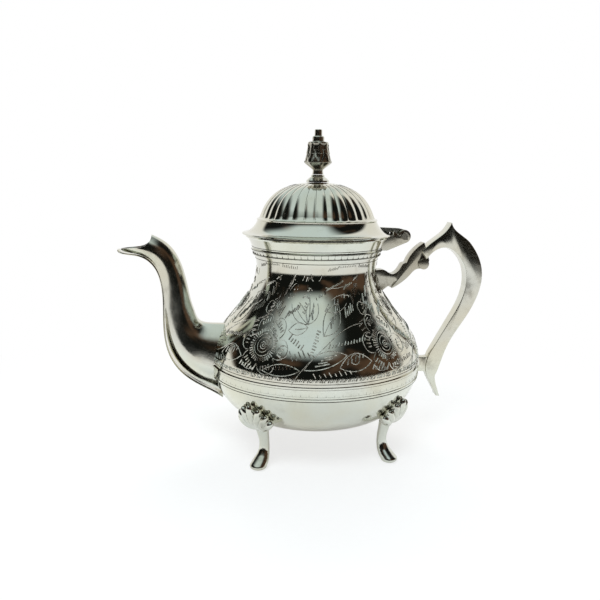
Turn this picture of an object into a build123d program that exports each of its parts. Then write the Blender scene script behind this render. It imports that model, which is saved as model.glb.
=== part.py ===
from build123d import *
import math
import os

# Footed teapot of plated sheet brass with a hinged lid.
# The pot is modelled about its own axis, +Z up, spout at -X, handle at +X,
# and is placed with the middle of its footprint at the origin.
# All lengths are in millimetres and all angles in degrees.

# Body shells
BELLY_R = 61.8
BELLY_Z = 53.0
SHOULDER_R = 49.8
SHOULDER_Z = 80.5
NECK_R = 35.2
NECK_Z = 106.5
MOUTH_R = 40.6
MOUTH_Z = 127.0
MOUTH_FLARE = 25.0
SEAM_Z = 50.0
HIP_IN = 7.2
HIP_Z = 32.0
BASE_R = 26.0
BASE_Z = 18.8
WALL = 1.0

# Rim wire and milled bands
WIRE_T = 0.8
WIRE_H = 1.6
BAND_T = 0.5
BEAD_T = 0.35
BEAD_H = 1.0
NECK_BAND_DROP = 9.6
NECK_BAND_H = 3.6
BELLY_BAND_DROP = 0.3
BELLY_BAND_H = 7.4

# Strainer behind the spout
STRAINER_Z = 56.5
STRAINER_HOLE_D = 4.0
STRAINER_PITCH = 6.0
STRAINER_RINGS = 2

# Spout, as its front and back edge on the centre plane
SPOUT_WALL = 1.1
SPOUT_STEPS = 6
LIP_OUT = 50.7
LIP_Z = 118.8
HOOD_OUT = 32.2
HOOD_Z = 127.5

# Lid
LID_WALL = 1.0
LID_SEAT = 0.3
BRIM_R = 43.4
BRIM_T = 0.9
COVE_R = 34.6
COVE_H = 7.6
DOME_R = 33.3
DOME_H = 9.6
DOME_HAUNCH_R = 25.4
DOME_HAUNCH_H = 23.2
DOME_TOP_H = 30.0
BEZEL_T = 0.8
BEZEL_H = 5.0
BEZEL_GAP = 0.7
BEZEL_DRAW = 2.0

# Finial and its fixing
FOOT_BELL_R = 6.6
FOOT_BELL_H = 4.2
STEM_R = 3.1
BUD_H = 7.3
BUD_R = 7.45
BUD_WIDE_H = 10.6
BUD_TOP_R = 5.4
BUD_TOP_H = 22.3
BUD_SIDES = 8
TIP_R = 2.1
COLLAR_R = 3.2
COLLAR_TOP_H = 25.6
TIP_TOP_H = 29.2
STUD_R = 2.0
STUD_H = 6.0
NUT_R = 3.6
NUT_H = 2.4
WASHER_R = 5.0
WASHER_T = 0.8
STUD_GAP = 0.1

# Hinge
HINGE_OUT = 8.4
HINGE_DROP = 0.7
KNUCKLE_R = 3.9
PIN_R = 1.25
PIN_FIT = 0.05
PIN_HEAD_R = 2.0
PIN_HEAD_T = 0.7
TONGUE_W = 4.6
TONGUE_T = 1.5
CHEEK_T = 1.8
CHEEK_GAP = 0.3
BRACKET_FOOT_DROP = 9.0

# Handle
GRIP_W = 8.4
GRIP_TOE_W = 5.6
HANDLE_OUT = 40.4
HANDLE_OUT_Z = 101.5
SPUR_OUT = 19.2
SPUR_Z = 134.6
TAIL_OUT = 17.8
TAIL_Z = 25.7
BRACKET_W = 7.0
KNOB_OUT = 2.8
KNOB_Z = 109.8
KNOB_R = 3.2
KNOB_W = 9.0
LOWER_BRACKET_W = 6.0
LOWER_BRACKET_Z = 47.0
LOWER_BRACKET_REACH = 11.2
LOWER_BRACKET_H = 12.4
LOWER_BRACKET_WAIST = 9.0

# Feet
FOOT_AZIMUTHS = {
    "foot_front_left": -135.0,
    "foot_front_right": -45.0,
    "foot_rear_right": 45.0,
    "foot_rear_left": 135.0,
}
SHELL_IN = 10.3
SHELL_Z = 25.5
SHELL_LEAN = 33.0
SHELL_LENGTH = 13.5
SHELL_LOBES = 5
SHELL_SPREAD = 31.0
LOBE_ROOT_R = 1.6
LOBE_TIP_R = 3.3
ANKLE_IN = 14.0
ANKLE_Z = 15.0
ANKLE_R = 3.2
TOE_IN = 8.6
TOE_L = 10.6
TOE_W = 10.0

# Places that follow from the sizes above
NECK_BAND_Z = MOUTH_Z - NECK_BAND_DROP
BELLY_BAND_Z = SEAM_Z - BELLY_BAND_DROP
COVE_Z = MOUTH_Z + COVE_H
DOME_Z = MOUTH_Z + DOME_H
DOME_HAUNCH_Z = MOUTH_Z + DOME_HAUNCH_H
DOME_TOP_Z = MOUTH_Z + DOME_TOP_H
BUD_Z = DOME_TOP_Z + BUD_H
BUD_WIDE_Z = DOME_TOP_Z + BUD_WIDE_H
BUD_TOP_Z = DOME_TOP_Z + BUD_TOP_H
COLLAR_TOP_Z = DOME_TOP_Z + COLLAR_TOP_H
TOP_Z = DOME_TOP_Z + TIP_TOP_H
HINGE_X = BRIM_R + HINGE_OUT
HINGE_Z = MOUTH_Z - HINGE_DROP
BRACKET_FOOT_Z = MOUTH_Z - BRACKET_FOOT_DROP
LIP_X = -(BELLY_R + LIP_OUT)
HOOD_X = -(BELLY_R + HOOD_OUT)
HANDLE_OUT_X = BELLY_R + HANDLE_OUT
SPUR_X = BELLY_R + SPUR_OUT
TAIL_X = BELLY_R + TAIL_OUT
KNOB_X = BELLY_R + KNOB_OUT
SHELL_X = BELLY_R - SHELL_IN
ANKLE_X = BELLY_R - ANKLE_IN
TOE_X = BELLY_R - TOE_IN



def spin(face):
    """Turns a half profile in the XZ plane about the pot's axis."""
    return revolve(face, Axis.Z, 360)


def upper_curve(inset):
    """Outer half outline of the upper shell, drawn in by an inset."""
    flare = math.radians(MOUTH_FLARE)
    return Spline(
        (BELLY_R - inset, 0, BELLY_Z),
        (SHOULDER_R - inset * 0.86, 0, SHOULDER_Z - inset * 0.5),
        (NECK_R - inset, 0, NECK_Z),
        (MOUTH_R - inset, 0, MOUTH_Z),
        tangents=[(0, 0, 1), (math.sin(flare), 0, math.cos(flare))],
    )


def lower_curve(inset):
    """Outer half outline of the bowl from the belly to its flat base."""
    return Spline(
        (BELLY_R - inset, 0, BELLY_Z),
        (BELLY_R - HIP_IN - inset * 0.8, 0, HIP_Z + inset * 0.6),
        (BASE_R, 0, BASE_Z + inset),
        tangents=[(0, 0, -1), (-1, 0, 0)],
    )


def body_solid(inset):
    """The pot's outer form as one solid, or its hollow for an inset."""
    upper = upper_curve(inset)
    lower = lower_curve(inset)
    top = Line((MOUTH_R - inset, 0, MOUTH_Z), (0, 0, MOUTH_Z))
    axis = Line((0, 0, MOUTH_Z), (0, 0, BASE_Z + inset))
    base = Line((0, 0, BASE_Z + inset), (BASE_R, 0, BASE_Z + inset))
    return spin(make_face(Wire([upper, top, axis, base, lower])))


def slab(z_low, z_high, radius=200.0):
    """A wide disc between two heights, used to divide the pot."""
    return Pos(0, 0, (z_low + z_high) / 2) * Cylinder(radius, z_high - z_low)


def strainer_holes():
    """Straight holes through the wall, in rings round one middle hole."""
    drill = Rot(0, -90, 0) * Cylinder(STRAINER_HOLE_D / 2, 2 * BELLY_R, align=(Align.CENTER, Align.CENTER, Align.MIN))
    spots = [(0.0, 0.0)]
    for ring in range(1, STRAINER_RINGS + 1):
        for step in range(6 * ring):
            angle = math.radians(60 * step / ring + 30)
            spots.append((ring * STRAINER_PITCH * math.cos(angle), ring * STRAINER_PITCH * math.sin(angle)))
    return [Pos(0, y, STRAINER_Z + z) * drill for y, z in spots]


def body_shells(outer, hollow):
    """Upper shell with its strainer, and the bowl, parted at the seam."""
    shell = outer - hollow - slab(MOUTH_Z - 0.01, MOUTH_Z + 50)
    upper = shell - slab(0, SEAM_Z)
    lower = shell - slab(SEAM_Z, MOUTH_Z + 50)
    for hole in strainer_holes():
        upper -= hole
    return upper, lower


def ring(radius, thickness, z_low, height):
    """A plain flat ring round the pot's axis."""
    tube = Cylinder(radius + thickness, height) - Cylinder(radius, height)
    return Pos(0, 0, z_low + height / 2) * tube


def rim_wire():
    """Half-round wire round the mouth, with its flat top under the lid."""
    outside = MOUTH_R + WIRE_T
    low = MOUTH_Z - WIRE_H
    outline = [(MOUTH_R - WALL, 0, low), (MOUTH_R, 0, low), (outside, 0, low + WIRE_T), (outside, 0, MOUTH_Z)]
    face = make_face(Polyline(*outline, (MOUTH_R - WALL, 0, MOUTH_Z), close=True))
    return spin(face)


def milled_band(outer, z_mid, height):
    """A flat strap that follows the shell, with a raised bead at each edge."""
    def layer(grow, z_low, z_high):
        grown = body_solid(-grow)
        return (grown & slab(z_low, z_high)) - outer

    low = z_mid - height / 2
    high = z_mid + height / 2
    strap = layer(BAND_T, low, high)
    beads = layer(BAND_T + BEAD_T, low, low + BEAD_H) + layer(BAND_T + BEAD_T, high - BEAD_H, high)
    return strap + beads


def spout_stations():
    """Front edge, back edge and half width of each section of the spout.

    An edge is given as its reach beyond the belly and its height.
    """
    stations = [
        ((-5.8, 31.6), (-9.8, 74.4), 13.0),
        ((6.2, 38.8), (2.7, 76.0), 12.0),
        ((16.7, 46.4), (7.8, 79.0), 10.7),
        ((24.2, 57.3), (9.4, 83.2), 9.5),
        ((27.2, 71.5), (10.8, 87.6), 8.6),
        ((27.3, 88.5), (12.2, 93.8), 7.8),
        ((28.5, 101.2), (14.2, 103.6), 7.0),
        ((33.4, 111.2), (19.6, 117.4), 6.5),
        ((41.4, 115.4), (27.8, 125.0), 5.9),
        ((50.8, 119.2), (39.2, 133.0), 4.6),
    ]
    placed = []
    for (front_out, front_z), (back_out, back_z), half_width in stations:
        front = Vector(-BELLY_R - front_out, 0, front_z)
        back = Vector(-BELLY_R - back_out, 0, back_z)
        placed.append((front, back, half_width))
    return placed


def spout_half(side, inset):
    """One half of the spout's outer form, or of its bore for an inset."""
    sections = []
    for front, back, half_width in spout_stations():
        depth = (back - front).length / 2 - inset
        middle = (front + back) / 2
        across = (back - front).normalized()
        outward = Vector(0, side * (half_width - inset), 0)
        points = []
        for step in range(SPOUT_STEPS + 1):
            angle = math.pi * step / SPOUT_STEPS
            points.append(middle + across * depth * math.cos(angle) + outward * math.sin(angle))
        curve = Spline(*points, tangents=[outward, -outward])
        sections.append(Wire([curve, Line(points[-1], points[0])]))
    return Solid.make_loft(sections)


def mouth_cutter():
    """All that lies above the spout's lip and in front of its hood."""
    reach = 40.0
    lip = (LIP_X, 0, LIP_Z)
    hood = (HOOD_X, 0, HOOD_Z)
    edge = Spline(
        lip,
        (LIP_X + 9.5, 0, LIP_Z + 1.1),
        (HOOD_X - 2.6, 0, HOOD_Z - 5.6),
        (HOOD_X - 0.5, 0, HOOD_Z - 3.1),
        hood,
    )
    far = LIP_X - reach
    frame = Polyline(hood, (HOOD_X, 0, HOOD_Z + reach), (far, 0, HOOD_Z + reach), (far, 0, LIP_Z), lip)
    return extrude(make_face(Wire([edge, *frame.edges()])), amount=reach, both=True)


def spout_casting(side, outer, cutter):
    """One half casting of the spout, seated on the pot's shell."""
    return spout_half(side, 0) - spout_half(side, SPOUT_WALL) - outer - cutter


def lid_curve(inset):
    """Half outline of the lid's cove and dome, drawn in by an inset."""
    brim_in = (COVE_R + 6.2 - inset, 0, MOUTH_Z + BRIM_T)
    cove = Spline(
        brim_in,
        (COVE_R - inset, 0, COVE_Z),
        tangents=[(-0.75, 0, 0.6), (-0.2, 0, 1)],
    )
    step = Line((COVE_R - inset, 0, COVE_Z), (DOME_R - inset, 0, DOME_Z))
    haunch = ThreePointArc(
        (DOME_R - inset, 0, DOME_Z),
        (DOME_R - 2.9 - inset * 0.9, 0, (DOME_Z + DOME_HAUNCH_Z) / 2 - inset * 0.3),
        (DOME_HAUNCH_R - inset * 0.7, 0, DOME_HAUNCH_Z - inset * 0.7),
    )
    crown = Spline(
        (DOME_HAUNCH_R - inset * 0.7, 0, DOME_HAUNCH_Z - inset * 0.7),
        (0, 0, DOME_TOP_Z - inset),
        tangents=[haunch % 1, (-1, 0, 0)],
    )
    return cove, step, haunch, crown


def lid_solid(inset, low):
    """The lid's cove and dome as one solid down to a given height."""
    cove, step, haunch, crown = lid_curve(inset)
    start = cove @ 0
    outline = [cove, step, haunch, crown, Line(crown @ 1, (0, 0, low)), Line((0, 0, low), (start.X, 0, low))]
    return spin(make_face(Wire([*outline, Line((start.X, 0, low), start)])))


def lid_shell():
    """Spun lid: flat brim, hollow cove and fluted dome, with the stud's hole."""
    low = MOUTH_Z + LID_SEAT
    brim = Pos(0, 0, low + BRIM_T / 2) * Cylinder(BRIM_R, BRIM_T)
    brim = fillet(brim.edges().group_by(Axis.Z)[-1], BRIM_T * 0.45)
    shell = brim + lid_solid(0, low)
    shell -= lid_solid(LID_WALL, low - 1)
    hole = Pos(0, 0, DOME_TOP_Z) * Cylinder(STUD_R + STUD_GAP, 4 * LID_WALL)
    return shell - hole


def lid_bezel():
    """Ring under the lid that drops into the mouth."""
    outside = MOUTH_R - WALL - BEZEL_GAP - BEZEL_DRAW
    top = MOUTH_Z + LID_SEAT
    tube = ring(outside - BEZEL_T, BEZEL_T, top - BEZEL_H, BEZEL_H)
    return tube


def turned(outline):
    """A solid of revolution from radius and height pairs up the axis."""
    points = [(0, 0, outline[0][1])] + [(r, 0, z) for r, z in outline] + [(0, 0, outline[-1][1])]
    return spin(make_face(Polyline(*points, close=True)))


def finial_foot():
    """Turned bell that seats on the dome's crown, bored for the stud."""
    low = DOME_TOP_Z
    outline = [
        (FOOT_BELL_R, low),
        (FOOT_BELL_R, low + 0.9),
        (FOOT_BELL_R - 1.4, low + 2.2),
        (STEM_R + 0.7, low + 3.2),
        (STEM_R + 0.9, low + FOOT_BELL_H - 0.5),
        (STEM_R + 0.4, low + FOOT_BELL_H),
    ]
    bell = turned(outline) - lid_solid(0, low - 2)
    return bell - Pos(0, 0, low) * Cylinder(STUD_R + STUD_GAP, 4 * FOOT_BELL_H)


def finial():
    """Eight-sided bud on a stem, with a stepped tip and a stud below."""
    stem_low = DOME_TOP_Z + FOOT_BELL_H
    sides = [(BUD_Z, STEM_R + 0.3), (BUD_WIDE_Z, BUD_R), (BUD_TOP_Z - 2.6, BUD_TOP_R), (BUD_TOP_Z, BUD_TOP_R)]
    bud = None
    for (z_low, r_low), (z_high, r_high) in zip(sides, sides[1:]):
        low = Plane.XY.offset(z_low) * RegularPolygon(r_low, BUD_SIDES)
        high = Plane.XY.offset(z_high) * RegularPolygon(r_high, BUD_SIDES)
        tier = loft([low, high], ruled=True)
        bud = tier if bud is None else bud + tier
    shaft = [
        (STUD_R, DOME_TOP_Z - STUD_H),
        (STUD_R, stem_low),
        (STEM_R, stem_low),
        (STEM_R, BUD_Z),
        (STEM_R - 0.5, BUD_Z + 1),
        (STEM_R - 0.5, BUD_TOP_Z - 1),
        (COLLAR_R, BUD_TOP_Z - 1),
        (COLLAR_R, COLLAR_TOP_Z),
        (TIP_R, COLLAR_TOP_Z),
        (TIP_R, TOP_Z - 0.5),
        (TIP_R - 0.5, TOP_Z),
    ]
    return bud + turned(shaft)


def washer_and_nut():
    """Washer and hexagon nut under the dome, on the finial's stud."""
    top = DOME_TOP_Z - LID_WALL - 0.25
    washer = Pos(0, 0, top - WASHER_T / 2) * Cylinder(WASHER_R, WASHER_T)
    nut = Pos(0, 0, top - WASHER_T - NUT_H) * extrude(RegularPolygon(NUT_R, 6), amount=NUT_H)
    stud = Pos(0, 0, top) * Cylinder(STUD_R, 8 * NUT_H)
    clear = Pos(0, 0, top) * Cylinder(STUD_R + STUD_GAP, 8 * NUT_H)
    return washer - clear, nut - stud


def in_plane(points):
    """Points given as X and Z on the pot's centre plane."""
    return [(x, 0, z) for x, z in points]


def past_belly(points):
    """Points given as reach beyond the belly and height, at the handle."""
    return [(BELLY_R + out, 0, z) for out, z in points]


def plate(face, width):
    """A face on the centre plane thickened equally to both sides."""
    return extrude(face, amount=width / 2, dir=(0, 1, 0), both=True)


def hinge_rod(radius, width):
    """A rod along the hinge's axis, centred on the pot's centre plane."""
    return Pos(HINGE_X, 0, HINGE_Z) * Rot(90, 0, 0) * Cylinder(radius, width)


def hinge_bracket(outer, wire):
    """Root on the neck with two cheeks that hold the hinge pin."""
    width = TONGUE_W + 2 * (CHEEK_GAP + CHEEK_T)
    cheek = Polyline(
        *in_plane([
            (MOUTH_R - 6, BRACKET_FOOT_Z),
            (MOUTH_R + 1, BRACKET_FOOT_Z),
            (HINGE_X + KNUCKLE_R * 0.45, HINGE_Z - KNUCKLE_R * 0.89),
            (HINGE_X - 6.6, HINGE_Z + 3.2),
            (HINGE_X - 6.6, MOUTH_Z - 0.4),
            (MOUTH_R - 3, MOUTH_Z - 0.4),
        ]),
        close=True,
    )
    body = plate(make_face(cheek), width) + hinge_rod(KNUCKLE_R, width)
    slot_low = HINGE_Z - KNUCKLE_R - 0.8
    slot = Pos(HINGE_X, 0, slot_low) * Box(
        2 * (KNUCKLE_R + CHEEK_GAP) + 0.9,
        TONGUE_W + 2 * CHEEK_GAP,
        30,
        align=(Align.CENTER, Align.CENTER, Align.MIN),
    )
    front = Pos(HINGE_X - 20, 0, HINGE_Z + 0.6) * Box(
        40, TONGUE_W + 2 * CHEEK_GAP, 30, align=(Align.CENTER, Align.CENTER, Align.MIN)
    )
    return body - slot - front - hinge_rod(PIN_R, 60) - outer - wire


def hinge_pin():
    """Pin through the cheeks and the tongue, with a flat head at each end."""
    width = TONGUE_W + 2 * (CHEEK_GAP + CHEEK_T)
    head_at = width / 2 + PIN_HEAD_T / 2
    pin = hinge_rod(PIN_R, width + 2 * PIN_HEAD_T)
    for side in (-1, 1):
        pin += Pos(0, side * head_at, 0) * hinge_rod(PIN_HEAD_R, PIN_HEAD_T)
    return pin


def hinge_tongue(lid):
    """Strap on the lid's brim that ends in a knuckle round the pin."""
    top = HINGE_Z + KNUCKLE_R + 0.8
    strap = Polyline(
        *in_plane([
            (COVE_R, MOUTH_Z + BRIM_T),
            (BRIM_R - 0.6, MOUTH_Z + BRIM_T + LID_SEAT),
            (BRIM_R + 0.4, top - TONGUE_T),
            (HINGE_X, HINGE_Z),
            (HINGE_X + 0.5, top - 0.9),
            (HINGE_X - 3, top),
            (COVE_R + 1, top + 0.6),
        ]),
        close=True,
    )
    strap = plate(make_face(strap), TONGUE_W) + hinge_rod(KNUCKLE_R, TONGUE_W)
    inside = lid_solid(0, MOUTH_Z + LID_SEAT)
    return strap - hinge_rod(PIN_R + PIN_FIT, 60) - inside - lid


def grip_face():
    """Side outline of the grip, with its spur on top and its tail below."""
    back = Spline(
        *past_belly([(31.8, 122.2), (HANDLE_OUT, HANDLE_OUT_Z), (32.2, 77.4), (20.3, 57.1), (15.2, 41.9)]),
        (TAIL_X, 0, TAIL_Z),
        tangents=[(0.65, 0, -0.76), (0.35, 0, -0.94)],
    )
    spur_back = Spline(
        (SPUR_X, 0, SPUR_Z),
        *past_belly([(22.8, 129.2), (31.8, 122.2)]),
        tangents=[(0.2, 0, -1), (0.65, 0, -0.76)],
    )
    tail_in = (TAIL_X - 2.2, 0, TAIL_Z + 0.3)
    tail = Line((TAIL_X, 0, TAIL_Z), tail_in)
    front_low = Spline(
        tail_in,
        *past_belly([(10.2, 36.5), (7.6, 45.0), (10.2, 54.8)]),
        tangents=[(-0.35, 0, 0.94), (0.45, 0, 0.9)],
    )
    front = Spline(
        *past_belly([(10.2, 54.8), (21.8, 75.0), (29.8, 93.0), (29.8, 105.6)]),
        *past_belly([(24.2, 115.4), (16.4, 119.6), (8.2, 116.8), (4.6, 112.6)]),
        tangents=[(0.5, 0, 0.86), (-0.5, 0, -0.86)],
    )
    root_low, root_high = past_belly([(4.6, 112.6), (1.6, 117.4)])
    top = Spline(
        root_high,
        *past_belly([(5.2, 121.0), (13.6, 127.4)]),
        (SPUR_X, 0, SPUR_Z),
        tangents=[(0.7, 0, 0.7), (0.35, 0, 0.94)],
    )
    return make_face(Wire([back, tail, front_low, front, Line(root_low, root_high), top, spur_back]))


def handle_grip():
    """Cast grip, wide at the thumb and narrow at the tail, with bevels."""
    face = grip_face()
    height = SPUR_Z - TAIL_Z
    front = Polyline(
        (0, -GRIP_TOE_W / 2, TAIL_Z - 1),
        (0, GRIP_TOE_W / 2, TAIL_Z - 1),
        (0, GRIP_W / 2, TAIL_Z + 0.75 * height),
        (0, GRIP_W / 2, SPUR_Z + 1),
        (0, -GRIP_W / 2, SPUR_Z + 1),
        (0, -GRIP_W / 2, TAIL_Z + 0.75 * height),
        close=True,
    )
    taper = extrude(make_face(front), amount=2 * HANDLE_OUT_X, dir=(1, 0, 0))
    return plate(face, GRIP_W) & taper


def upper_bracket(outer, grip):
    """Leaf scroll from the neck up to the grip, with a round scroll end."""
    root_high = (NECK_R - 2, 0, NECK_Z - 0.3)
    root_low = (NECK_R + 1, 0, NECK_Z - 15)
    bump, tip, heel = past_belly([(-7.6, 110.6), (2.8, 122.6), (6.4, 112.0)])
    top = Spline(
        root_high,
        *past_belly([(-20.5, 106.0), (-16.7, 103.9), (-13.0, 105.4), (-10.4, 109.2)]),
        bump,
        tangents=[(1, 0, 0), (1, 0, 0.1)],
    )
    curl = Spline(bump, *past_belly([(-4.1, 116.8)]), tip, tangents=[(0.3, 0, 1), (0.9, 0, 0.5)])
    under = Spline(
        heel,
        *past_belly([(4.2, 107.4), (-0.5, 106.9), (-7.2, 101.4), (-16.4, 96.0)]),
        root_low,
        tangents=[(-0.3, 0, -0.95), (-0.8, 0, -0.6)],
    )
    leaf = plate(make_face(Wire([top, curl, Line(tip, heel), under, Line(root_low, root_high)])), BRACKET_W)
    knob = Pos(KNOB_X, 0, KNOB_Z) * Rot(90, 0, 0) * Cylinder(KNOB_R, KNOB_W)
    return leaf + knob - outer - grip


def lower_bracket(outer, grip):
    """Short waisted block between the belly and the grip's tail."""
    half = LOWER_BRACKET_H / 2
    waist = LOWER_BRACKET_WAIST / 2
    start = BELLY_R - 4
    end = BELLY_R + LOWER_BRACKET_REACH
    mid = BELLY_R + LOWER_BRACKET_REACH / 2
    middle = LOWER_BRACKET_Z
    top = ThreePointArc((start, 0, middle + half + 1), (mid, 0, middle + waist), (end, 0, middle + half - 1))
    low = ThreePointArc((end, 0, middle - half), (mid, 0, middle - waist), (start, 0, middle - half))
    outline = Wire([top, Line(top @ 1, low @ 0), low, Line(low @ 1, top @ 0)])
    return plate(make_face(outline), LOWER_BRACKET_W) - outer - grip


def foot(outer):
    """Cast foot: scallop shell knee on the bowl, slim ankle, turned-out toe."""
    shell = None
    for lobe in range(SHELL_LOBES):
        angle = (lobe - (SHELL_LOBES - 1) / 2) * SHELL_SPREAD
        length = SHELL_LENGTH * (1 - 0.1 * abs(lobe - (SHELL_LOBES - 1) / 2))
        ray = Cone(LOBE_ROOT_R, LOBE_TIP_R, length, align=(Align.CENTER, Align.CENTER, Align.MIN))
        ray += Pos(0, 0, length) * Sphere(LOBE_TIP_R)
        ray = Pos(SHELL_X, 0, SHELL_Z) * Rot(0, SHELL_LEAN, 0) * Rot(angle, 0, 0) * ray
        shell = ray if shell is None else shell + ray
    leg = None
    stations = [
        (SHELL_X - 2.6, SHELL_Z + 2.0, 4.6, 3.0, 40),
        (SHELL_X - 2.2, SHELL_Z - 3.0, 3.9, 3.0, 20),
        (ANKLE_X, ANKLE_Z, ANKLE_R, ANKLE_R, 0),
        (ANKLE_X + 1.6, ANKLE_Z / 2, ANKLE_R + 0.5, ANKLE_R + 0.5, -28),
        (TOE_X - 0.6, 2.4, TOE_W / 2, TOE_L / 2, -12),
        (TOE_X, 0, TOE_W / 2 - 0.5, TOE_L / 2 - 0.5, 0),
    ]
    sections = []
    for x, z, half_width, half_depth, lean in stations:
        plane = Plane(origin=(x, 0, z), x_dir=(math.cos(math.radians(lean)), 0, -math.sin(math.radians(lean))),
                      z_dir=(math.sin(math.radians(lean)), 0, math.cos(math.radians(lean))))
        points = []
        for step in range(8):
            angle = math.radians(45 * step)
            points.append((half_depth * math.cos(angle), half_width * math.sin(angle)))
        sections.append(plane * make_face(Spline(*points, periodic=True)))
    leg = loft(sections)
    return shell + leg - outer


def pot_pieces():
    """Every piece of the pot and its lid, by name, about the pot's axis."""
    outer = body_solid(0)
    hollow = body_solid(WALL)
    upper, lower = body_shells(outer, hollow)
    wire = rim_wire() - outer
    cutter = mouth_cutter()
    grip = handle_grip()
    lower_block = lower_bracket(outer, grip)
    belt = milled_band(outer, BELLY_BAND_Z, BELLY_BAND_H) - lower_block
    bracket = hinge_bracket(outer, wire)
    lid = lid_shell()
    washer, nut = washer_and_nut()
    pieces = {
        "body_upper": upper,
        "body_lower": lower,
        "rim_wire": wire,
        "neck_band": milled_band(outer, NECK_BAND_Z, NECK_BAND_H) - bracket,
        "belly_band": belt - spout_half(-1, 0) - spout_half(1, 0),
        "spout_half_left": spout_casting(-1, outer, cutter),
        "spout_half_right": spout_casting(1, outer, cutter),
        "handle_grip": grip,
        "handle_upper_bracket": upper_bracket(outer, grip),
        "handle_lower_bracket": lower_block,
        "hinge_bracket": bracket,
        "hinge_pin": hinge_pin(),
        "lid_shell": lid,
        "lid_bezel": lid_bezel(),
        "hinge_tongue": hinge_tongue(lid),
        "finial_foot": finial_foot(),
        "finial": finial(),
        "finial_washer": washer,
        "finial_nut": nut,
    }
    pattern = foot(outer)
    for name, azimuth in FOOT_AZIMUTHS.items():
        pieces[name] = Rot(0, 0, azimuth) * pattern
    return pieces


def main():
    """Centres the footprint on the origin and writes each piece by name."""
    os.makedirs("parts", exist_ok=True)
    pieces = pot_pieces()
    boxes = [shape.bounding_box() for shape in pieces.values()]
    middle = (min(box.min.X for box in boxes) + max(box.max.X for box in boxes)) / 2
    for name, shape in pieces.items():
        export_step(Pos(-middle, 0, 0) * shape, f"parts/{name}.step")


if __name__ == "__main__":
    main()
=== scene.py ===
import math

import bmesh
import bpy
import numpy as np
from mathutils import Matrix, Vector


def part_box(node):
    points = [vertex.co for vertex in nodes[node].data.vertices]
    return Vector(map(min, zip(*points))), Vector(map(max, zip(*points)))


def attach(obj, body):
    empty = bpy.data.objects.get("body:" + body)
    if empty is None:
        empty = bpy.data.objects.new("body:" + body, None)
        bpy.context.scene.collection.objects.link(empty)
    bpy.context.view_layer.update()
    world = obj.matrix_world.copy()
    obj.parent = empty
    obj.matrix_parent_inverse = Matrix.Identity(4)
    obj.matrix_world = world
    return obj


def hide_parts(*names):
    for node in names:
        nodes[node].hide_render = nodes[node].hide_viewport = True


# A footed teapot of silver-plated brass. The engraved upper shell, the smooth bowl, the
# bands, the spout and the small turned pieces are the frame's own solids under new
# finishes. The fluted lid, the carved finial, the shell feet, and the grip and brackets
# with eased edges are modelled here and replace theirs. The engraving is fine cuts laid
# on the shell. Sizes are in metres, or in mm where a comment says so.
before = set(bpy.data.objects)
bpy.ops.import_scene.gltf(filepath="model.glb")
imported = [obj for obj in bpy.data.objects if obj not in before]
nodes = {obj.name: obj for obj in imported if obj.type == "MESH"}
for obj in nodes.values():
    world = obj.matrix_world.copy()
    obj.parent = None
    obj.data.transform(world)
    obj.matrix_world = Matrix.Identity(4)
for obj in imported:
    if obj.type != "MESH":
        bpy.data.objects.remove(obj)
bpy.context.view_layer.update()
MM = 0.001

# Places taken from the frame
rim_low, rim_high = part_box("rim_wire")
AXIS_X = (rim_low.x + rim_high.x) / 2
MOUTH_Z = rim_high.z
FINIAL_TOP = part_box("finial")[1].z

# The camera, as fitted to the photograph, with its angles in degrees
CAMERA_DISTANCE = 0.3927
CAMERA_ELEVATION = 12.12
CAMERA_TURN = -9.7
CAMERA_ROLL = 0.87
AIM_Z = 0.0772
AIM_PIXEL = (315.64, 318.0)
FOCAL_PIXELS = 654.5
PHOTO_SIZE = 600
SENSOR_WIDTH = 36.0
NEAREST_SEEN = 0.01


class Value:
    """A shader socket that takes part in sums."""

    def __init__(self, made, socket):
        self.made = made
        self.socket = socket

    def _math(self, operation, *values):
        return self.made.node("ShaderNodeMath", {"operation": operation}, dict(enumerate(values)))

    def __add__(self, other):
        return self._math("ADD", self, other)

    def __radd__(self, other):
        return self._math("ADD", other, self)

    def __sub__(self, other):
        return self._math("SUBTRACT", self, other)

    def __rsub__(self, other):
        return self._math("SUBTRACT", other, self)

    def __mul__(self, other):
        return self._math("MULTIPLY", self, other)

    def __rmul__(self, other):
        return self._math("MULTIPLY", other, self)

    def __abs__(self):
        return self._math("ABSOLUTE", self)


class Nodes:
    """A node tree and short ways to add to it."""

    def __init__(self, tree):
        self.tree = tree

    def node(self, kind, settings=None, sockets=None, out=0):
        """Adds a node, sets it up, then fills or links its sockets."""
        made = self.tree.nodes.new(kind)
        for key, value in (settings or {}).items():
            setattr(made, key, value)
        for key, value in (sockets or {}).items():
            self.put(made.inputs[key], value)
        return Value(self, made.outputs[out])

    def put(self, socket, value):
        if isinstance(value, Value):
            self.tree.links.new(value.socket, socket)
        else:
            socket.default_value = value

    def band(self, value, low, high):
        """0 below low and 1 above high, smooth between."""
        return self.node(
            "ShaderNodeMapRange",
            {"interpolation_type": "SMOOTHSTEP", "clamp": True},
            {"Value": value, "From Min": low, "From Max": high},
        )

    def mix(self, share, first, second):
        """The first colour, with a share of the second."""
        sockets = {"Factor": share, 6: first, 7: second}
        return self.node("ShaderNodeMix", {"data_type": "RGBA"}, sockets, out=2)

    def light_path(self, ray):
        return self.node("ShaderNodeLightPath", out=ray)


# Where a noise starts and ends to count as a spot
SPOT_EDGE = (0.3, 0.7)
CUT_SPOT_EDGE = (0.3, 0.6)


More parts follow.
